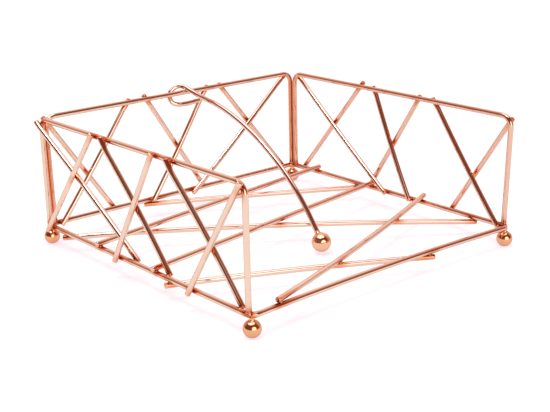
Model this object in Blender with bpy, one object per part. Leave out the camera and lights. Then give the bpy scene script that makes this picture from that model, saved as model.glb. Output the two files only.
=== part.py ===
# Napkin holder: a squarish tray welded from round wire, open at the front, with a weighted
# arm that swings on the back rail and keeps the napkins down.
# X runs from left to right, Y from the open front to the back and Z up. The ball feet stand
# on Z = 0.

import math

import bmesh
import bpy
from mathutils import Vector

MM = 0.001

# Driving dimensions, in millimetres
WIRE = 3.0  # diameter of every wire
WELD_GAP = 0.3  # clearance left between two pieces that are welded together
TRAY_X = -1.2  # middle of the base ring's square; the origin is under the middle of the holder
TRAY_Y = -1.6
RING_SIDE = 187.0  # base ring, between centre lines
RING_SPREAD = 2.5  # the ring's back right corner stands this far out of square, to the right
RING_BEND = 4.0  # bend radius of the ring's corners
FRONT_BOW = 3.0  # the front of the ring bows inwards by this much
WALL_HEIGHT = 63.3  # base ring to top rail, between centre lines
FRAME_BEND = 6.0  # bend radius of the frames' top corners
FOOT_BALL = 9.0  # diameter of the ball feet
FOOT_FLAT = 0.3  # depth of the flat that a foot stands on
FOOT_NECK = 0.6  # height of the weld neck on top of a foot
NECK_WIDTH = 2.3  # diameter of that neck
ARM_BALL = 11.0  # diameter of the weight on the arm
ARM_X = 9.0  # the arm hangs a little right of the middle
ARM_RADIUS = 147.5  # the arm is bent to this radius
ARM_CENTRE = (0.8, -147.3)  # centre of that bend, outwards and up from the back rail
ARM_LIFT = 1.0  # the weight clears the table by this much

# The walls, measured along each from the middle of its side of the ring: towards the back on
# the side walls, to the right on the back wall. "feet" are where the frame's two legs stand
# and "rail" where they reach the top rail. A wire is given by where it crosses the top rail and
# the ring, then by how far its top and bottom ends run past their centre lines; next to a
# corner the top stops short, on the frame's bend.
WALLS = {
    "left": {
        "feet": (-91.5, 91.5),
        "rail": (-91.5, 91.5),
        "outer": ((-91.2, -48.9, 2.0, 2.0), (-21.7, 16.6, 2.2, 2.0), (34.1, 87.0, 2.5, 2.0)),
        "slanted": ((-35.7, -83.2, 1.5, 0.5), (22.8, -24.3, 2.0, 0.5), (93.0, 5.0, -1.5, 0.5)),
    },
    "back": {
        "feet": (-89.2, 95.2),
        "rail": (-90.0, 95.2),
        "outer": ((-90.2, -46.8, -0.5, 2.0), (-19.2, 21.6, 2.4, 2.0), (37.6, 89.5, 1.0, 2.0)),
        "slanted": ((-31.6, -85.6, 1.5, 1.5), (27.6, -21.5, 1.2, 0.5), (94.9, 11.1, -2.0, 3.0)),
    },
    "right": {
        "feet": (-90.5, 89.8),
        "rail": (-92.7, 89.8),
        "outer": ((-92.2, -48.8, -1.9, 2.0), (-21.2, 20.4, 1.0, 2.0), (29.0, 84.1, 3.0, 2.0)),
        "slanted": ((-32.0, -88.5, 1.2, 0.5), (18.2, -19.8, 1.0, 0.5), (92.7, 1.1, -3.6, 0.5)),
    },
}
SLANTED_BOW = 0.8  # slanted wires spring inwards where they pass the outer ones
SLANTED_SEAT = 0.93  # share of the height where they come to lie flat outside the frame

# Ends of the base wires in plan, and how far each springs up at its middle. Upper wires lie
# on the ring and lower wires under it, and they spring towards each other where they cross.
UPPER_WIRES = (
    ((-97, 35), (97, 67), 0.0),
    ((-97, -18), (96, 15), 0.0),
    ((-77, -93), (98, -26), -2.4),
)
LOWER_WIRES = (
    ((-95, 75), (96, -69), 2.6),
    ((-96, -27), (34, -92), 1.1),
    ((-25, 96), (97, 29), 0.5),
)

# Route of the arm's eye round the back rail: across, outwards and up from the rail's centre
# line, from the arm, over the rail and behind it, to the short tail below it.
EYE_ROUTE = (
    (-0.5, -5.0, 1.9),
    (-1.5, 0.0, 3.5),
    (-3.6, 3.0, 3.7),
    (-6.6, 4.5, 2.1),
    (-9.0, 4.5, -0.4),
    (-9.9, 3.3, -3.6),
    (-9.1, 1.9, -5.7),
    (-6.7, 0.7, -6.9),
    (-2.0, 0.0, -7.3),
    (9.0, 0.0, -6.8),
)
ARM_STEPS = 8  # points along the arm's bend
EYE_START = -16.0  # the bend ends this far inside the rail

BEND_STEPS = 5
BOW_STEPS = 12
WIRE_RESOLUTION = 3
BALL_SEGMENTS = 20
BALL_RINGS = 14

# Heights and offsets that follow from the above
FOOT_Z = FOOT_BALL / 2 - FOOT_FLAT
RING_Z = FOOT_Z + FOOT_BALL / 2 + FOOT_NECK + WELD_GAP + WIRE / 2
RAIL_Z = RING_Z + WALL_HEIGHT
SEAT = WIRE + WELD_GAP  # centre line of a wire that lies against another
HALF = RING_SIDE / 2

COPPER = (0.83, 0.46, 0.34, 1.0)
COPPER_ROUGHNESS = 0.18


def clear_scene():
    for thing in list(bpy.data.objects):
        bpy.data.objects.remove(thing, do_unlink=True)


def copper_plate(name):
    material = bpy.data.materials.new(name + "_copper_plate")
    material.use_nodes = True
    shader = material.node_tree.nodes["Principled BSDF"]
    shader.inputs["Base Color"].default_value = COPPER
    shader.inputs["Metallic"].default_value = 1.0
    shader.inputs["Roughness"].default_value = COPPER_ROUGHNESS
    return material


def metres(point):
    return Vector(point) * MM


def place(name, data, location=(0, 0, 0), parent=None):
    thing = bpy.data.objects.new(name, data)
    thing.location = metres(location)
    thing.parent = parent or tray
    holder.objects.link(thing)
    if data is not None:
        data.materials.append(copper_plate(name))
    return thing


def wire(name, points, parent=None, location=(0, 0, 0), closed=False, smooth=False):
    curve = bpy.data.curves.new(name, "CURVE")
    curve.dimensions = "3D"
    curve.bevel_depth = WIRE / 2 * MM
    curve.bevel_resolution = WIRE_RESOLUTION
    curve.use_fill_caps = True
    spline = curve.splines.new("BEZIER" if smooth else "POLY")
    knots = spline.bezier_points if smooth else spline.points
    knots.add(len(points) - 1)
    for knot, point in zip(knots, points):
        if smooth:
            knot.co = metres(point)
            knot.handle_left_type = "AUTO"
            knot.handle_right_type = "AUTO"
        else:
            knot.co = metres(point).to_4d()
    spline.resolution_u = BEND_STEPS
    spline.use_cyclic_u = closed
    return place(name, curve, location, parent)


def level(bm, height, facing):
    # Cuts a ball off at a height and returns the edges round the opening
    everything = bm.verts[:] + bm.edges[:] + bm.faces[:]
    bmesh.ops.bisect_plane(
        bm, geom=everything, plane_co=(0, 0, height), plane_no=(0, 0, facing), clear_outer=True
    )
    return [edge for edge in bm.edges if edge.is_boundary]


def ball(name, diameter, location, parent=None, flat=0.0, neck=0.0):
    bm = bmesh.new()
    radius = diameter / 2 * MM
    bmesh.ops.create_uvsphere(bm, u_segments=BALL_SEGMENTS, v_segments=BALL_RINGS, radius=radius)
    if flat:
        bmesh.ops.holes_fill(bm, edges=level(bm, flat * MM - radius, -1), sides=0)
    if neck:
        root = math.sqrt(radius**2 - (NECK_WIDTH / 2 * MM) ** 2)
        raised = bmesh.ops.extrude_edge_only(bm, edges=level(bm, root, 1))["geom"]
        for element in raised:
            if isinstance(element, bmesh.types.BMVert):
                element.co.z = radius + neck * MM
        rim = [edge for edge in bm.edges if edge.is_boundary]
        bmesh.ops.holes_fill(bm, edges=rim, sides=0)
        bmesh.ops.recalc_face_normals(bm, faces=bm.faces[:])
    mesh = bpy.data.meshes.new(name)
    bm.to_mesh(mesh)
    bm.free()
    mesh.shade_smooth()
    mesh.set_sharp_from_angle(angle=math.radians(40))
    return place(name, mesh, location, parent)


def arc(centre, radius, start, end, steps):
    points = []
    for step in range(steps + 1):
        angle = math.radians(start + (end - start) * step / steps)
        points.append((centre[0] + radius * math.cos(angle), centre[1] + radius * math.sin(angle)))
    return points


def bow(depth, share):
    return depth * 4 * share * (1 - share)


def spread(x, y):
    # Moves a point of the square plan with the back right corner
    return x + RING_SPREAD * (x + HALF) * (y + HALF) / RING_SIDE**2, y


def build_ring():
    straight = HALF - RING_BEND
    outline = []
    for step in range(1, BOW_STEPS):
        x = straight * (2 * step / BOW_STEPS - 1)
        outline.append((x, FRONT_BOW * (1 - (x / straight) ** 2) - HALF))
    for corner, (side, end) in enumerate(((1, -1), (1, 1), (-1, 1), (-1, -1))):
        start = 90 * corner - 90
        outline += arc((side * straight, end * straight), RING_BEND, start, start + 90, BEND_STEPS)
    wire("base_ring", [(*spread(x, y), RING_Z) for x, y in outline], closed=True)


def build_feet():
    inset = RING_BEND * (1 - math.cos(math.radians(45)))
    corner = HALF - inset
    for depth, y in (("front", -corner), ("back", corner)):
        for side, x in (("left", -corner), ("right", corner)):
            spot = (*spread(x, y), FOOT_Z)
            ball(f"{depth}_{side}_foot", FOOT_BALL, spot, flat=FOOT_FLAT, neck=FOOT_NECK)


def build_base_wires():
    layers = (("upper", UPPER_WIRES, RING_Z + SEAT), ("lower", LOWER_WIRES, RING_Z - SEAT))
    for layer, wires, height in layers:
        for number, (start, end, spring) in enumerate(wires, 1):
            steps = BOW_STEPS if spring else 1
            points = []
            for step in range(steps + 1):
                share = step / steps
                x, y = Vector(start).lerp(Vector(end), share)
                points.append((x, y, height + bow(spring, share)))
            wire(f"base_{layer}_wire_{number}", points)


def build_frame(wall, side, facing):
    # An upside-down U: two legs that stand on the ring, and the top rail between them
    low_foot, high_foot = sorted(facing * foot for foot in WALLS[side]["feet"])
    low, high = sorted(facing * corner for corner in WALLS[side]["rail"])
    height = WALL_HEIGHT - FRAME_BEND
    outline = [(high_foot, WIRE / 2 + WELD_GAP)]
    outline += arc((high - FRAME_BEND, height), FRAME_BEND, 0, 90, BEND_STEPS)
    outline += arc((low + FRAME_BEND, height), FRAME_BEND, 90, 180, BEND_STEPS)
    outline.append((low_foot, WIRE / 2 + WELD_GAP))
    wire(f"{side}_frame", [(along, 0, up) for along, up in outline], parent=wall)


def build_wall_wires(wall, side, facing):
    # Outer wires lie against the outside of both rails. Slanted wires start outside the top
    # rail and end inside the ring, so they cross behind the outer ones.
    for kind in ("outer", "slanted"):
        for number, (top, bottom, over, under) in enumerate(WALLS[side][kind], 1):
            run = Vector((top - bottom, WALL_HEIGHT))
            low = -under / run.length
            high = 1 + over / run.length
            steps = BOW_STEPS if kind == "slanted" else 1
            points = []
            for step in range(steps + 1):
                share = low + (high - low) * step / steps
                out = SEAT
                if kind == "slanted":
                    way = min(share / SLANTED_SEAT, 1)
                    out = SEAT * (2 * way - 1) - bow(SLANTED_BOW, way)
                points.append((facing * (bottom + run.x * share), out, run.y * share))
            wire(f"{side}_{kind}_wire_{number}", points, parent=wall)


def build_walls():
    # Each wall is laid out along its own X, with its own Y pointing out of the tray
    lean = math.degrees(math.atan(RING_SPREAD / RING_SIDE))
    places = (
        ("left", (-HALF, 0, RING_Z), 90, 1),
        ("back", (0, HALF, RING_Z), 0, 1),
        ("right", (HALF + RING_SPREAD / 2, 0, RING_Z), -90 - lean, -1),
    )
    for side, location, turn, facing in places:
        wall = place(f"{side}_wall", None, location)
        wall.rotation_euler.z = math.radians(turn)
        build_frame(wall, side, facing)
        build_wall_wires(wall, side, facing)


def build_arm():
    # The arm turns on the back rail, so it is laid out from a point on the rail's centre line
    pivot = place("arm_pivot", None, (ARM_X, HALF, RAIL_Z))
    out, up = ARM_CENTRE
    weight_up = ARM_BALL / 2 + ARM_LIFT - RAIL_Z
    weight_angle = 180 - math.degrees(math.asin((weight_up - up) / ARM_RADIUS))
    weight = arc(ARM_CENTRE, ARM_RADIUS, weight_angle, weight_angle, 1)[0]
    ball("arm_ball", ARM_BALL, (0, *weight), parent=pivot)

    seat_angle = math.degrees((ARM_BALL / 2 + WELD_GAP) / ARM_RADIUS)
    eye_angle = 180 - math.degrees(math.acos((out - EYE_START) / ARM_RADIUS))
    bend = arc(ARM_CENTRE, ARM_RADIUS, weight_angle - seat_angle, eye_angle, ARM_STEPS)
    points = [(0, outwards, height) for outwards, height in bend]
    wire("arm_wire", points + list(EYE_ROUTE), parent=pivot, smooth=True)


clear_scene()
holder = bpy.data.collections.new("napkin_holder")
bpy.context.scene.collection.children.link(holder)
tray = bpy.data.objects.new("tray", None)
tray.location = metres((TRAY_X, TRAY_Y, 0))
holder.objects.link(tray)
build_ring()
build_feet()
build_base_wires()
build_walls()
build_arm()
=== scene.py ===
# Napkin holder, bent and welded from copper plated steel wire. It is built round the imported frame.
# Sizes in the dictionaries are millimetres and degrees, in the frame's own axes.
import math

import bmesh
import bpy
import numpy as np
from mathutils import Matrix, Quaternion, Vector
from mathutils.kdtree import KDTree


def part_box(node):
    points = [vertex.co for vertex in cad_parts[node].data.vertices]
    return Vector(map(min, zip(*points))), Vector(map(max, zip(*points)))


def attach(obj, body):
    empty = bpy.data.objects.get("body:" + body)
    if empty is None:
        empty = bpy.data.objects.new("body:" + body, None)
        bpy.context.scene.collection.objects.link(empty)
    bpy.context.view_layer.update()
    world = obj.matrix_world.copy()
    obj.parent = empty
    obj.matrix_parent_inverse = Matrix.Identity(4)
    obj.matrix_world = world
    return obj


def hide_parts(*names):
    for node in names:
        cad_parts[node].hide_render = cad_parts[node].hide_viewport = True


mm = 0.001

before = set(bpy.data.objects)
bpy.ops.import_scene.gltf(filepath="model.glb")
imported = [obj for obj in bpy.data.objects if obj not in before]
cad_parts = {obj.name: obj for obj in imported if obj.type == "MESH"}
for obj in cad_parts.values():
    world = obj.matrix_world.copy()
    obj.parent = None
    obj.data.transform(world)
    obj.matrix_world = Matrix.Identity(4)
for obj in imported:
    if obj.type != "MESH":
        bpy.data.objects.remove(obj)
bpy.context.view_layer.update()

scene = bpy.context.scene
scene.view_settings.view_transform = "Standard"


# camera

camera = {
    "place": (-394.5, -470.2, 214.9),  # where the photograph was taken from
    "aim": (4.0, 3.6, 20.6),
    "roll": -1.28,
    "lens": 73.5,
    "sensor": 36.0,
}


def setCamera():
    data = bpy.data.cameras.new("camera")
    data.lens = camera["lens"]
    data.sensor_width = camera["sensor"]
    place = Vector(camera["place"]) * mm
    sight = Vector(camera["aim"]) * mm - place
    roll = Quaternion((0, 0, 1), math.radians(camera["roll"]))
    turn = sight.to_track_quat("-Z", "Y") @ roll
    thing = bpy.data.objects.new("camera", data)
    thing.matrix_world = Matrix.LocRotScale(place, turn, None)
    scene.collection.objects.link(thing)
    scene.camera = thing
    print("camera:", round(sight.length, 3), "m from its aim")


setCamera()


# node trees

def linear(hexCode):
    shares = [int(hexCode[i:i + 2], 16) / 255 for i in (1, 3, 5)]
    return (*((s / 12.92 if s <= 0.04045 else ((s + 0.055) / 1.055) ** 2.4) for s in shares), 1.0)


def addNode(tree, kind, inputs=None, **settings):
    node = tree.nodes.new(kind)
    for key, value in settings.items():
        setattr(node, key, value)
    for key, value in (inputs or {}).items():
        if isinstance(value, bpy.types.NodeSocket):
            tree.links.new(value, node.inputs[key])
        else:
            node.inputs[key].default_value = value
    return node


def newMaterial(name):
    material = bpy.data.materials.new(name)
    material.use_nodes = True
    return material, material.node_tree, material.node_tree.nodes["Principled BSDF"]


# copper plate

plate = {
    "pale": "#eeccb9",  # bright acid copper under clear lacquer; painted light makes it paler on the left of the tray
    "deep": "#e8b9a6",  # painted shade makes it deeper on the right
    # painted shade over welds and between wires that lie close: orange at first, then dark, by share of
    # the crevice
    "creviceShadeSteps": (((0.0, 0.4), "#e28d62"), ((0.45, 0.9), "#852c10")),
    "foot": ("#edb48c", "#e49e70"),
    "weight": ("#f2c2a0", "#e8ae88"),
    "edge": "#e0d8d5",  # the lacquer keeps glancing reflections under white
    "halfWidth": 95.0,  # of the tray, over which the painted shade deepens from left to right
    "cloud": 14.0,  # patches of thicker plate
    "cloudDetail": 3.0,
    "cloudShare": 0.3,
    "dieLine": 0.35,  # width of the faint lines along a wire
    "dieLineLength": 25.0,
    "dieLineDepth": 0.002,
    "dieLineDetail": 2.0,
    "wireRoughness": (0.04, 0.08),
    "orangePeel": 0.9,  # slight waviness of the plate on the balls
    "orangePeelDepth": 0.004,
    "orangePeelDetail": 1.0,
    "ballRoughness": (0.04, 0.09),
    "noiseSpread": (0.3, 0.7),  # most of a noise lies between these
}


def plateColour(tree, place, paintedShadeLevel, colours):
    # copper that is deeper where the painted shade level is higher, and uneven in patches of thicker
    # plate
    cloud = addNode(tree, "ShaderNodeTexNoise", {
        "Vector": place, "Scale": 1 / (plate["cloud"] * mm), "Detail": plate["cloudDetail"]})
    uneven = addNode(tree, "ShaderNodeMath", operation="MULTIPLY_ADD", inputs={
        0: cloud.outputs["Fac"], 1: plate["cloudShare"], 2: paintedShadeLevel})
    tint = addNode(tree, "ShaderNodeValToRGB", {"Fac": uneven.outputs[0]})
    for stop, colour in zip(tint.color_ramp.elements, colours):
        stop.color = linear(colour)
    return tint.outputs["Color"]


def plateFinish(tree, shader, colour, relief, roughness, depth):
    # bright metal, with the relief of what lies under the plate
    start, end = plate["noiseSpread"]
    low, high = roughness
    gloss = addNode(tree, "ShaderNodeMapRange", {
        "Value": relief, "From Min": start, "From Max": end, "To Min": low, "To Max": high})
    bump = addNode(tree, "ShaderNodeBump", {"Height": relief, "Distance": depth * mm})
    tree.links.new(colour, shader.inputs["Base Color"])
    tree.links.new(gloss.outputs["Result"], shader.inputs["Roughness"])
    tree.links.new(bump.outputs["Normal"], shader.inputs["Normal"])
    shader.inputs["Specular Tint"].default_value = linear(plate["edge"])
    shader.inputs["Metallic"].default_value = 1.0


def copperPlatedWire():
    # drawn steel wire, plated bright: mirror-like, with faint lines along it from the die
    material, tree, shader = newMaterial("copperPlatedDrawnWire")
    place = addNode(tree, "ShaderNodeTexCoord").outputs["Object"]
    sideways = addNode(tree, "ShaderNodeSeparateXYZ", {"Vector": place}).outputs["X"]
    reach = plate["halfWidth"] * mm
    # painted light and shade: the copper is paler on the left of the tray and deeper on the right
    paintedShadeLevel = addNode(tree, "ShaderNodeMapRange", clamp=False, inputs={
        "Value": sideways, "From Min": -reach, "From Max": reach,
        "To Min": -plate["cloudShare"] / 2, "To Max": 1 - plate["cloudShare"] / 2})
    colour = plateColour(tree, place, paintedShadeLevel.outputs[0], (plate["pale"], plate["deep"]))
    # painted shade where wires lie close together: deeper orange, then dark in the narrowest gaps
    crevice = addNode(tree, "ShaderNodeAttribute", attribute_name="crevice").outputs["Fac"]
    for (start, end), creviceShade in plate["creviceShadeSteps"]:
        share = addNode(tree, "ShaderNodeMapRange", {
            "Value": crevice, "From Min": start, "From Max": end})
        mixed = addNode(tree, "ShaderNodeMix", data_type="RGBA", inputs={
            0: share.outputs[0], 6: colour, 7: linear(creviceShade)})
        colour = mixed.outputs[2]
    lie = addNode(tree, "ShaderNodeAttribute", attribute_name="straightened").outputs["Vector"]
    across = 1 / plate["dieLine"]
    along = 1 / plate["dieLineLength"]
    stretched = addNode(tree, "ShaderNodeMapping", {"Vector": lie, "Scale": (along, across, across)})
    lines = addNode(tree, "ShaderNodeTexNoise", {
        "Vector": stretched.outputs[0], "Scale": 1.0, "Detail": plate["dieLineDetail"]})
    relief = lines.outputs["Fac"]
    plateFinish(tree, shader, colour, relief, plate["wireRoughness"], plate["dieLineDepth"])
    return material


def copperPlatedBall(name, colours):
    # ground steel ball, plated bright: a mirror with a little orange peel
    material, tree, shader = newMaterial(name)
    place = addNode(tree, "ShaderNodeTexCoord").outputs["Object"]
    colour = plateColour(tree, place, 0.5 - plate["cloudShare"] / 2, colours)
    peel = addNode(tree, "ShaderNodeTexNoise", {
        "Vector": place, "Scale": 1 / (plate["orangePeel"] * mm), "Detail": plate["orangePeelDetail"]})
    relief = peel.outputs["Fac"]
    plateFinish(tree, shader, colour, relief, plate["ballRoughness"], plate["orangePeelDepth"])
    return material


wirePlate = copperPlatedWire()
footPlate = copperPlatedBall("copperPlatedBallFoot", plate["foot"])
weightPlate = copperPlatedBall("copperPlatedBallWeight", plate["weight"])
print("materials:", wirePlate.name, footPlate.name, weightPlate.name)


# wire stock

stock = {
    "diameter": 3.0,
    "sides": 28,
    "cutRounding": 0.4,  # cut ends are tumbled smooth
    "cutSteps": 3,
    "weldGap": 0.3,
    "bendSteps": 10,
    "bowSteps": 24,
    "longest": 3.0,  # piece of wire between two sections
}
wireRadius = stock["diameter"] / 2
seat = stock["diameter"] + stock["weldGap"]  # from one centre line to the next where two wires are welded
ringLow, ringHigh = (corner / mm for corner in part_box("base_ring"))
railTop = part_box("back_frame")[1].z / mm
trayMiddle = (ringLow + ringHigh) / 2
ringHeight = trayMiddle.z
railHeight = railTop - wireRadius
halfSide = (ringHigh.y - ringLow.y - stock["diameter"]) / 2
trayMiddle.x = ringLow.x + wireRadius + halfSide
print("tray:", [round(v, 2) for v in (*trayMiddle, railHeight, halfSide)])
routes = {}  # centre lines of the basket's wires, by piece


def finishPiece(name, bm, material, body, slot, *nodes):
    mesh = bpy.data.meshes.new(name)
    bm.to_mesh(mesh)
    bm.free()
    mesh.shade_smooth()
    mesh.materials.append(material)
    piece = bpy.data.objects.new(name, mesh)
    scene.collection.objects.link(piece)
    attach(piece, body)
    if nodes:
        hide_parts(*nodes)
    return piece


def stations(route, closed):
    # one square-on section of the wire at each point of its route, turned no more than the bends need
    places = [Vector(point) * mm for point in route]
    sections = []
    turn = heading = None
    for i, place in enumerate(places):
        before = places[i - 1] if closed or i else None
        after = places[(i + 1) % len(places)] if closed or i + 1 < len(places) else None
        ahead = Vector()
        if before is not None:
            ahead += (place - before).normalized()
        if after is not None:
            ahead += (after - place).normalized()
        ahead.normalize()
        turn = heading.rotation_difference(ahead) @ turn if heading else ahead.to_track_quat("Z", "X")
        heading = ahead
        sections.append(Matrix.LocRotScale(place, turn, None))
    return sections


def divided(route, closed):
    # the same route in short pieces
    points = [Vector(point) for point in route]
    ends = points[1:] + points[:1] if closed else points[1:]
    finer = []
    for start, end in zip(points, ends):
        parts = math.ceil((end - start).length / stock["longest"])
        finer += [start.lerp(end, part / parts) for part in range(parts)]
    return finer if closed else finer + points[-1:]


def drawWire(name, node, route, slot, body="basket", closed=False):
    route = divided(route, closed)
    bm = bmesh.new()
    lie = bm.verts.layers.float_vector.new("straightened")  # where each point was before bending
    sections = stations(route, closed)
    rim = bmesh.ops.create_circle(bm, segments=stock["sides"], radius=wireRadius * mm)["verts"]
    for vert in rim:
        vert[lie] = (0, vert.co.x / mm, vert.co.y / mm)
    bmesh.ops.transform(bm, matrix=sections[0], verts=rim)
    firstEdges = edges = bm.edges[:]
    length = 0
    for last, following in zip(sections, sections[1:]):
        grown = bmesh.ops.extrude_edge_only(bm, edges=edges)["geom"]
        rim = [part for part in grown if isinstance(part, bmesh.types.BMVert)]
        edges = [part for part in grown if isinstance(part, bmesh.types.BMEdge)]
        bmesh.ops.transform(bm, matrix=following @ last.inverted(), verts=rim)
        length += (following.translation - last.translation).length / mm
        for vert in rim:
            vert[lie] = (length, vert[lie].y, vert[lie].z)
    if closed:
        bmesh.ops.bridge_loops(bm, edges=firstEdges + edges)
    else:
        bmesh.ops.edgeloop_fill(bm, edges=firstEdges)
        bmesh.ops.edgeloop_fill(bm, edges=edges)
        bmesh.ops.bevel(bm, geom=firstEdges + edges, offset=stock["cutRounding"] * mm,
                        offset_type="OFFSET", segments=stock["cutSteps"], profile=0.5,
                        affect="EDGES", material=-1)
    bmesh.ops.recalc_face_normals(bm, faces=bm.faces[:])
    if body == "basket":
        routes[name] = route
    finishPiece(name, bm, wirePlate, body, slot, node)


def onCircle(centre, radius, degrees):
    angle = math.radians(degrees)
    return centre[0] + radius * math.cos(angle), centre[1] + radius * math.sin(angle)


def arc(centre, radius, start, end, steps):
    return [onCircle(centre, radius, start + (end - start) * step / steps) for step in range(steps + 1)]


def bow(depth, share):
    # deepest halfway along
    return depth * 4 * share * (1 - share)


# base ring

ring = {
    "bend": 4.0,
    "frontBow": 3.0,
    "spread": 2.5,  # the back right corner stands this far out of square, to the right
}


def planPoint(x, y, height):
    # a point of the square plan, moved with the corner that is out of square
    share = (x + halfSide) * (y + halfSide) / (2 * halfSide) ** 2
    return Vector((trayMiddle.x + x + ring["spread"] * share, trayMiddle.y + y, height))


def bendRing():
    straight = halfSide - ring["bend"]
    outline = []
    for step in range(1, stock["bowSteps"]):
        x = straight * (2 * step / stock["bowSteps"] - 1)
        outline.append((x, ring["frontBow"] * (1 - (x / straight) ** 2) - halfSide))
    for corner, (side, end) in enumerate(((1, -1), (1, 1), (-1, 1), (-1, -1))):
        start = 90 * corner - 90
        centre = (side * straight, end * straight)
        outline += arc(centre, ring["bend"], start, start + 90, stock["bendSteps"])
    route = [planPoint(x, y, ringHeight) for x, y in outline]
    drawWire("ringWire", "base_ring", route, "ring_plate", closed=True)


bendRing()
print("base ring bent")


# walls

lean = ring["spread"] / 2 / halfSide  # of the right wall
walls = {
    # a frame by where its legs stand and where they reach the rail, from the wall's middle:
    # towards the back on the sides, to the right on the back.
    # A wire is where it crosses the rail and the ring, and the stubs past them.
    "left": {
        "middle": (-1, 0), "outward": (-1, 0), "along": (0, 1),
        "feet": (-91.5, 91.5), "rail": (-91.5, 91.5),
        "outer": ((-91.2, -48.9, 2.0, 2.0), (-21.7, 16.6, 2.2, 2.0), (34.1, 87.0, 2.5, 2.0)),
        "slanted": ((-35.7, -83.2, 1.5, 0.5), (22.8, -24.3, 2.0, 0.5), (93.0, 5.0, -1.5, 0.5)),
    },
    "back": {
        "middle": (0, 1), "outward": (0, 1), "along": (1, 0),
        "feet": (-89.2, 95.2), "rail": (-90.0, 95.2),
        "outer": ((-90.2, -46.8, -0.5, 2.0), (-19.2, 21.6, 2.4, 2.0), (37.6, 89.5, 1.0, 2.0)),
        "slanted": ((-31.6, -85.6, 1.5, 1.5), (27.6, -21.5, 1.2, 0.5), (94.9, 11.1, -2.0, 3.0)),
    },
    "right": {
        "middle": (1 + lean, 0), "outward": (1, -lean), "along": (lean, 1),
        "feet": (-90.5, 89.8), "rail": (-92.7, 89.8),
        "outer": ((-92.2, -48.8, -1.9, 2.0), (-21.2, 20.4, 1.0, 2.0), (29.0, 84.1, 3.0, 2.0)),
        "slanted": ((-32.0, -88.5, 1.2, 0.5), (18.2, -19.8, 1.0, 0.5), (92.7, 1.1, -3.6, 0.5)),
    },
}
wallBends = {
    "frame": 6.0,
    "slantedBow": 0.8,
    "slantedSeat": 0.93,  # share of the height where slanted wires come to lie outside the frame
}


def wallPoint(wall, along, out, up):
    middle = Vector((*wall["middle"], 0)) * halfSide
    outward = Vector((*wall["outward"], 0)).normalized()
    sideways = Vector((*wall["along"], 0)).normalized()
    return trayMiddle + middle + outward * out + sideways * along + Vector((0, 0, up))


def bendFrame(side, wall):
    height = railHeight - ringHeight
    lowFoot, highFoot = wall["feet"]
    low, high = wall["rail"]
    bend = wallBends["frame"]
    legStart = wireRadius + stock["weldGap"]
    outline = [(highFoot, legStart)]
    outline += arc((high - bend, height - bend), bend, 0, 90, stock["bendSteps"])
    outline += arc((low + bend, height - bend), bend, 90, 180, stock["bendSteps"])
    outline.append((lowFoot, legStart))
    route = [wallPoint(wall, along, 0, up) for along, up in outline]
    drawWire(side + "FrameWire", side + "_frame", route, "frame_plate")


def layLattice(side, wall, kind):
    height = railHeight - ringHeight
    for number, (top, bottom, over, under) in enumerate(wall[kind], 1):
        run = Vector((top - bottom, height))
        low = -under / run.length
        high = 1 + over / run.length
        steps = stock["bowSteps"] if kind == "slanted" else 1
        route = []
        for step in range(steps + 1):
            share = low + (high - low) * step / steps
            out = seat
            if kind == "slanted":  # from outside the rail to inside the ring, behind the outer wires
                way = min(share / wallBends["slantedSeat"], 1)
                out = seat * (2 * way - 1) - bow(wallBends["slantedBow"], way)
            route.append(wallPoint(wall, bottom + run.x * share, out, run.y * share))
        name = f"{side}{kind.capitalize()}Wire{number}"
        drawWire(name, f"{side}_{kind}_wire_{number}", route, "lattice_plate")


for side, wall in walls.items():
    bendFrame(side, wall)
    layLattice(side, wall, "outer")
    layLattice(side, wall, "slanted")
    print(side, "wall made")


# floor

floorWires = {
    # plan of each wire from end to end, and how far it springs up at its middle
    "upper": (((-97, 35), (97, 67), 0.0), ((-97, -18), (96, 15), 0.0), ((-77, -93), (98, -26), -2.4)),
    "lower": (((-95, 75), (96, -69), 2.6), ((-96, -27), (34, -92), 1.1), ((-25, 96), (97, 29), 0.5)),
}


def layFloor(layer, height):
    for number, (start, end, spring) in enumerate(floorWires[layer], 1):
        steps = stock["bowSteps"] if spring else 1
        route = []
        for step in range(steps + 1):
            share = step / steps
            x, y = Vector(start).lerp(Vector(end), share)
            route.append(trayMiddle + Vector((x, y, height + bow(spring, share))))
        name = f"floor{layer.capitalize()}Wire{number}"
        drawWire(name, f"base_{layer}_wire_{number}", route, "lattice_plate")


layFloor("upper", seat)
layFloor("lower", -seat)
print("floor laid")


# arm

arm = {
    "across": 9.0,  # right of the middle
    "radius": 147.5,
    "centre": (0.8, -147.3),  # of the bend, outwards and up from the back rail
    "lift": 1.0,  # of the weight, off the table
    "eyeStart": -16.0,  # the bend ends this far inside the rail
    # across, outwards and up from the rail: over it, round behind it and back under it to the tail
    "eye": (
        (-0.5, -5.0, 1.9), (-1.5, 0.0, 3.5), (-3.6, 3.0, 3.7), (-6.6, 4.5, 2.1), (-9.0, 4.5, -0.4),
        (-9.9, 3.3, -3.6), (-9.1, 1.9, -5.7), (-6.7, 0.7, -6.9), (-2.0, 0.0, -7.3), (9.0, 0.0, -6.8),
    ),
    "bendSteps": 8,
    "smoothing": 12,
}
weight = {"diameter": 11.0, "flat": 0.0, "neck": 1.55, "rise": 0.0}  # the ball on its free end
armPivot = Vector((trayMiddle.x + arm["across"], trayMiddle.y + halfSide, railHeight))


def smoothRoute(points):
    # a drawn curve through the points, as a wire bent by hand takes them
    curve = bpy.data.curves.new("armLine", "CURVE")
    curve.dimensions = "3D"
    line = curve.splines.new("BEZIER")
    line.bezier_points.add(len(points) - 1)
    for knot, point in zip(line.bezier_points, points):
        knot.co = point
        knot.handle_left_type = knot.handle_right_type = "AUTO"
    line.resolution_u = arm["smoothing"]
    thing = bpy.data.objects.new("armLine", curve)
    scene.collection.objects.link(thing)
    bpy.context.view_layer.update()
    mesh = thing.to_mesh()
    route = [vert.co.copy() for vert in mesh.vertices]
    thing.to_mesh_clear()
    bpy.data.objects.remove(thing)
    return route


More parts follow.
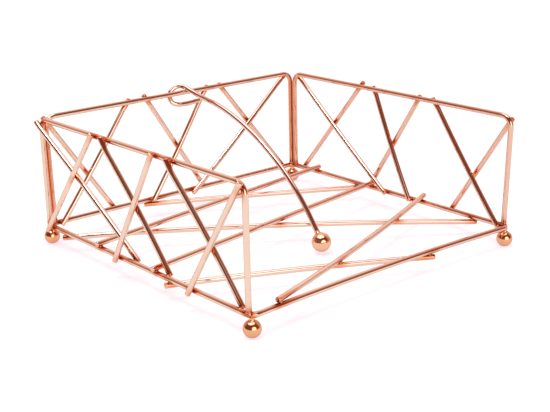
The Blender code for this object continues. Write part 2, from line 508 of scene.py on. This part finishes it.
def bendArm():
    out, up = arm["centre"]
    weightUp = weight["diameter"] / 2 + arm["lift"] - railHeight
    weightAngle = 180 - math.degrees(math.asin((weightUp - up) / arm["radius"]))
    seatAngle = math.degrees((weight["diameter"] / 2 + stock["weldGap"]) / arm["radius"])
    eyeAngle = 180 - math.degrees(math.acos((out - arm["eyeStart"]) / arm["radius"]))
    bend = arc(arm["centre"], arm["radius"], weightAngle - seatAngle, eyeAngle, arm["bendSteps"])
    points = [(0, *point) for point in bend] + list(arm["eye"])
    route = smoothRoute([armPivot + Vector(point) for point in points])
    drawWire("armWire", "arm_wire", route, "arm_plate", body="arm")
    weightPoint = onCircle(arm["centre"], arm["radius"], weightAngle)
    return armPivot + Vector((0, *weightPoint)), route[0]


weightPlace, armEnd = bendArm()
print("arm bent")


# balls

foot = {"diameter": 9.0, "flat": 0.3, "neck": 1.5, "rise": 0.6}  # radius and rise of its neck
turning = {
    "sides": 48,
    "rings": 36,
    "fillet": 1.0,  # from a ball into the neck that welds it to its wire
    "filletSteps": 8,
    "lip": 30.0,  # how far the neck turns out again under the wire
    "lipSteps": 3,
    "sharp": 50.0,  # edges that bend more than this stay sharp
    "merge": 0.001,  # points closer than this are one
}


def turnOutline(outline, sides):
    # a full turn about the upright axis of an outline given by radius and height
    bm = bmesh.new()
    verts = [bm.verts.new((x * mm, 0, z * mm)) for x, z in outline]
    edges = [bm.edges.new(pair) for pair in zip(verts, verts[1:])]
    bmesh.ops.spin(bm, geom=verts + edges, cent=(0, 0, 0), axis=(0, 0, 1), dvec=(0, 0, 0),
                   angle=math.tau, steps=sides, use_merge=True)
    bmesh.ops.remove_doubles(bm, verts=bm.verts[:], dist=turning["merge"] * mm)
    bmesh.ops.recalc_face_normals(bm, faces=bm.faces[:])
    return bm


def turnBall(name, node, material, body, ball, centre, towards):
    # half outline of the ball, from its bottom up to the neck at its top
    radius = ball["diameter"] / 2
    fillet = turning["fillet"]
    reach = radius + fillet
    neckAngle = math.degrees(math.acos((ball["neck"] + fillet) / reach))
    lowest = -math.degrees(math.asin((radius - ball["flat"]) / radius))
    outline = arc((0, 0), radius, lowest, neckAngle, turning["rings"])
    if ball["flat"]:
        outline.insert(0, (0, ball["flat"] - radius))
    hollow = onCircle((0, 0), reach, neckAngle)
    outline += arc(hollow, fillet, neckAngle + 180, 180, turning["filletSteps"])[1:]
    lipCentre = (ball["neck"] + fillet, hollow[1] + ball["rise"])
    outline += arc(lipCentre, fillet, 180, 180 - turning["lip"], turning["lipSteps"])
    outline.append((0, outline[-1][1]))
    bm = turnOutline(outline, turning["sides"])
    turn = Vector(towards).to_track_quat("Z", "X")
    bmesh.ops.transform(bm, matrix=Matrix.LocRotScale(centre * mm, turn, None), verts=bm.verts[:])
    piece = finishPiece(name, bm, material, body, "ball_plate", node)
    piece.data.set_sharp_from_angle(angle=math.radians(turning["sharp"]))


def setFeet():
    corner = halfSide - ring["bend"] * (1 - math.cos(math.radians(45)))
    height = foot["diameter"] / 2 - foot["flat"]
    for depth, y in (("front", -corner), ("back", corner)):
        for side, x in (("Left", -corner), ("Right", corner)):
            name = f"{depth}{side}BallFoot"
            node = f"{depth}_{side.lower()}_foot"
            turnBall(name, node, footPlate, "basket", foot, planPoint(x, y, height), (0, 0, 1))


setFeet()
turnBall("armBallWeight", "arm_ball", weightPlate, "arm", weight, weightPlace, armEnd - weightPlace)
print("balls turned")


# welds

weld = {
    "reach": 0.65,  # wires closer than this are welded
    "spacing": 0.5,  # of the points where a wire is tried
    "throat": 0.85,
    "flare": 1.2,
    "halfHeight": 0.85,
    "collar": 2.1,  # round the foot of a leg
    "collarGap": 0.05,  # between the collar's upper part and the leg
    "sides": 20,
    "steps": 6,
    "creviceShade": 0.55,  # painted shade on a bead, as a share of a full crevice
    "crevice": 5.2,  # gap between wires over which the painted shade fades out
}


def tryPoints(route, closed):
    # points at even distances along a route
    points = np.array([tuple(point) for point in route])
    if closed:
        points = np.vstack((points, points[:1]))
    lengths = np.concatenate(([0], np.cumsum(np.linalg.norm(np.diff(points, axis=0), axis=1))))
    places = np.linspace(0, lengths[-1], int(lengths[-1] / weld["spacing"]) + 1)
    return np.stack([np.interp(places, lengths, points[:, axis]) for axis in range(3)], axis=1)


def findWelds(tried):
    # where a wire comes up against the ring, a frame or, on the floor, a wire of the other layer
    names = list(tried)
    reach = stock["diameter"] + weld["reach"]
    found = []
    for i, host in enumerate(names):
        for guest in names[i + 1:]:
            onFloor = host.startswith("floorUpper") and guest.startswith("floorLower")
            if not (onFloor or host == "ringWire" or host.endswith("FrameWire")):
                continue
            gaps = np.linalg.norm(tried[host][:, None] - tried[guest][None], axis=2)
            nearest = gaps.min(axis=1)
            close = np.flatnonzero(nearest < reach)
            for run in np.split(close, np.flatnonzero(np.diff(close) > 1) + 1):
                if len(run):
                    best = run[np.argmin(nearest[run])]
                    other = tried[guest][np.argmin(gaps[best])]
                    found.append((guest, Vector(tried[host][best]), Vector(other)))
    return found


def weldBead(butt):
    # a waisted bead between two crossing wires, or a collar round the foot of a leg
    throat = wireRadius + weld["collarGap"] if butt else weld["throat"]
    flare = weld["collar"] if butt else weld["flare"]
    rise = weld["halfHeight"]
    outline = [(0, -rise)]
    for step in range(weld["steps"] + 1):
        share = 2 * step / weld["steps"] - 1
        widening = share ** 2 if not butt or share < 0 else 0
        outline.append((throat + (flare - throat) * widening, rise * share))
    outline.append((0, rise))
    bm = turnOutline(outline, weld["sides"])
    # the bead takes the painted shade of a crevice
    crevice = bm.verts.layers.float.new("crevice")
    for vert in bm.verts:
        vert[crevice] = weld["creviceShade"]
    mesh = bpy.data.meshes.new("weldBead")
    bm.to_mesh(mesh)
    bm.free()
    return mesh


def makeWelds(tried):
    beads = {butt: weldBead(butt) for butt in (False, True)}
    groups = {}
    for guest, start, end in findWelds(tried):
        group = next((side for side in walls if guest.startswith(side)), "floor")
        if group not in groups:
            groups[group] = bmesh.new()
        bm = groups[group]
        butt = (end - start).length < stock["diameter"]
        axis = (end - start).normalized()
        middle = start + axis * seat / 2
        have = len(bm.verts)
        bm.from_mesh(beads[butt])
        bm.verts.ensure_lookup_table()
        place = Matrix.LocRotScale(middle * mm, axis.to_track_quat("Z", "X"), None)
        bmesh.ops.transform(bm, matrix=place, verts=bm.verts[have:])
    for group, bm in groups.items():
        piece = finishPiece(group + "Welds", bm, wirePlate, "basket", "lattice_plate")
        print(piece.name, len(piece.data.vertices))


def paintCreviceShade(tried):
    # marks each wire where another one lies close to it, for the painted shade there
    for name in tried:
        others = np.vstack([points for other, points in tried.items() if other != name])
        tree = KDTree(len(others))
        for i, point in enumerate(others):
            tree.insert(point, i)
        tree.balance()
        mesh = bpy.data.objects[name].data
        marks = []
        for vert in mesh.vertices:
            gap = tree.find(vert.co / mm)[2] - wireRadius
            marks.append(max(0, 1 - gap / weld["crevice"]) ** 2)
        mesh.attributes.new("crevice", "FLOAT", "POINT").data.foreach_set("value", marks)
    print("lacquer pooled on", len(tried), "wires")


pointsTried = {name: tryPoints(route, name == "ringWire") for name, route in routes.items()}
makeWelds(pointsTried)
paintCreviceShade(pointsTried)


# studio

studio = {
    "tableSize": 60000.0,  # its edge stays out of sight, from far off and low down too
    "tableSides": 64,
    "table": "#8cb89e",
    "tableGlow": "#e5cbdd",  # this brings it to white, and tints its shadows as the copper does
    "sweep": "#ffffff",  # behind the tray
    "wall": "#dfa893",  # to either side
    "wallAt": 0.5,  # share of the way from the sweep to the room
    "room": "#7e5144",  # behind the camera, unlit
    "roomSide": (-0.695, -0.719, 0.0),  # which way the room lies
    "roomEdge": (-1.0, 0.18),
    "sweepRise": (0.05, 0.5),  # the sweep is brighter higher up
    "sweepLevel": (0.9, 1.25),
    # lamps by where they stand, half their width and height, the share that is soft edge, and brightness
    "lamps": {
        "window": {
            "towards": (-0.252, -0.940, 0.208),
            "half": (26.0, 26.0),
            "soft": 0.5,
            "bright": (2.6, 2.6, 2.6),
        },
        "softbox": {
            "towards": (-0.080, 0.090, 0.993),
            "half": (26.0, 34.0),
            "soft": 0.12,
            "bright": (1.9, 2.0, 2.24),
        },
        "hotSpot": {
            "towards": (-0.291, -0.025, 0.956),
            "half": (6.5, 6.5),
            "soft": 0.5,
            "bright": (16.0, 16.4, 17.3),
        },
    },
}


def hangLamp(tree, direction, behind, lamp):
    # an oval lamp with a soft edge, in front of what is behind it
    aim = Vector(lamp["towards"]).normalized()
    across = aim.cross((0, 0, 1)).normalized()
    spans = []
    for axis, half in zip((across, across.cross(aim)), lamp["half"]):
        span = addNode(tree, "ShaderNodeVectorMath", operation="DOT_PRODUCT", inputs={
            0: direction, 1: axis / math.sin(math.radians(half))})
        spans.append(span.outputs["Value"])
    spot = addNode(tree, "ShaderNodeCombineXYZ", {"X": spans[0], "Y": spans[1]})
    off = addNode(tree, "ShaderNodeVectorMath", {0: spot.outputs[0]}, operation="LENGTH")
    edge = addNode(tree, "ShaderNodeMapRange", interpolation_type="SMOOTHSTEP", inputs={
        "Value": off.outputs["Value"], "To Min": 1.0, "To Max": 0.0,
        "From Min": 1 - lamp["soft"] / 2, "From Max": 1 + lamp["soft"] / 2})
    facing = addNode(tree, "ShaderNodeVectorMath", {0: direction, 1: aim}, operation="DOT_PRODUCT")
    ahead = addNode(tree, "ShaderNodeMath", operation="GREATER_THAN", inputs={
        0: facing.outputs["Value"], 1: 0.0})
    share = addNode(tree, "ShaderNodeMath", operation="MULTIPLY", inputs={
        0: edge.outputs[0], 1: ahead.outputs[0]})
    lit = addNode(tree, "ShaderNodeMix", data_type="RGBA", inputs={
        0: share.outputs[0], 6: behind, 7: (*lamp["bright"], 1.0)})
    return lit.outputs[2]


def paintStudio():
    # a white sweep, an unlit room in front of it, a window beside the camera and a softbox overhead
    # with a hot spot that gives the wires their sharp shadows
    world = bpy.data.worlds.new("studio")
    world.use_nodes = True
    scene.world = world
    tree = world.node_tree
    direction = addNode(tree, "ShaderNodeTexCoord").outputs["Generated"]
    side = addNode(tree, "ShaderNodeVectorMath", operation="DOT_PRODUCT", inputs={
        0: direction, 1: studio["roomSide"]})
    low, high = studio["roomEdge"]
    unlit = addNode(tree, "ShaderNodeMapRange", interpolation_type="SMOOTHSTEP", inputs={
        "Value": side.outputs["Value"], "From Min": low, "From Max": high}).outputs[0]
    shade = addNode(tree, "ShaderNodeValToRGB", {"Fac": unlit})
    shade.color_ramp.elements.new(studio["wallAt"])
    for stop, surface in zip(shade.color_ramp.elements, ("sweep", "wall", "room")):
        stop.color = linear(studio[surface])
    height = addNode(tree, "ShaderNodeSeparateXYZ", {"Vector": direction}).outputs["Z"]
    low, high = studio["sweepRise"]
    dim, bright = studio["sweepLevel"]
    level = addNode(tree, "ShaderNodeMapRange", interpolation_type="SMOOTHSTEP", inputs={
        "Value": height, "From Min": low, "From Max": high, "To Min": dim, "To Max": bright}).outputs[0]
    level = addNode(tree, "ShaderNodeMix", {0: unlit, 2: level, 3: 1.0}).outputs[0]
    colour = addNode(tree, "ShaderNodeVectorMath", operation="SCALE", inputs={
        0: shade.outputs["Color"], "Scale": level}).outputs["Vector"]
    for lamp in studio["lamps"].values():
        colour = hangLamp(tree, direction, colour, lamp)
    tree.links.new(colour, tree.nodes["Background"].inputs["Color"])


def layTable():
    # white laminate: no edge or grain shows, only pale lavender shadows under the wires
    material, tree, shader = newMaterial("whiteLaminate")
    path = addNode(tree, "ShaderNodeLightPath")
    seen = path.outputs["Is Camera Ray"]
    for ray in ("Is Glossy Ray", "Is Transmission Ray"):
        either = addNode(tree, "ShaderNodeMath", operation="ADD", use_clamp=True, inputs={
            0: seen, 1: path.outputs[ray]})
        seen = either.outputs[0]
    matt = addNode(tree, "ShaderNodeBsdfDiffuse", {"Color": linear(studio["table"])})
    glow = addNode(tree, "ShaderNodeEmission", {"Color": linear(studio["tableGlow"])})
    lit = addNode(tree, "ShaderNodeAddShader", {0: matt.outputs[0], 1: glow.outputs[0]})
    surface = addNode(tree, "ShaderNodeMixShader", {0: seen, 1: matt.outputs[0], 2: lit.outputs[0]})
    tree.nodes.remove(shader)
    tree.links.new(surface.outputs[0], tree.nodes["Material Output"].inputs["Surface"])
    bm = bmesh.new()
    radius = studio["tableSize"] / 2 * mm
    bmesh.ops.create_circle(bm, cap_ends=True, segments=studio["tableSides"], radius=radius)
    mesh = bpy.data.meshes.new("table")
    bm.to_mesh(mesh)
    bm.free()
    mesh.materials.append(material)
    table = bpy.data.objects.new("table", mesh)
    scene.collection.objects.link(table)


paintStudio()
layTable()
print("studio set")
